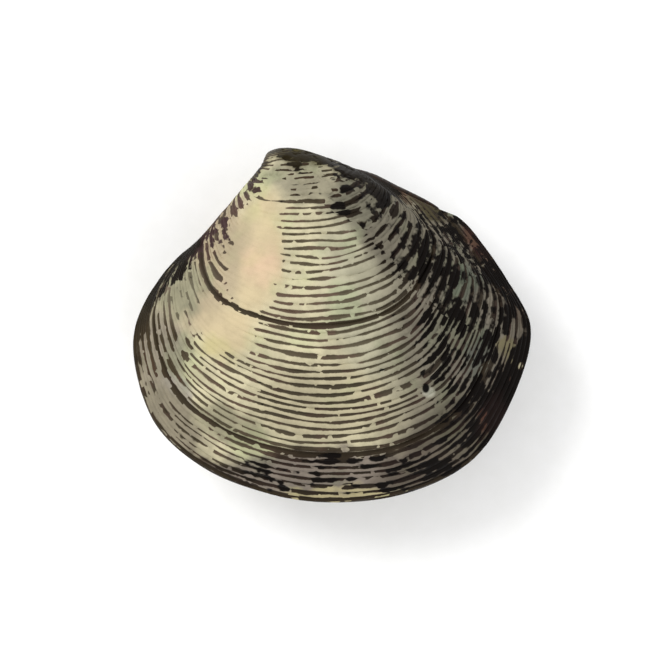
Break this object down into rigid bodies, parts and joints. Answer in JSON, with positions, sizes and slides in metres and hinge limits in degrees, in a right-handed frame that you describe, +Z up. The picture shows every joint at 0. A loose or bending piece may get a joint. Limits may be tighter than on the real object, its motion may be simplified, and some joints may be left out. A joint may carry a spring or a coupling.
{
  "type": "closed clam shell",
  "caption": "Small closed clam shell with concentric ribs, an eroded beak and a dark ligament, lying on one valve.",
  "frame": {"origin": "centre of the bounding box's footprint, on the surface that the shell rests on", "axes": "+X to the rear end, +Y to the beaks and hinge, +Z up to the left valve"},
  "size_m": [0.02, 0.0178, 0.0108],
  "materials": {
    "shell": "satin",
    "ligament": "satin"
  },
  "bodies": {
    "root": {"left_valve": "shell", "right_valve": "shell", "ligament": "ligament"}
  },
  "joints": []
}
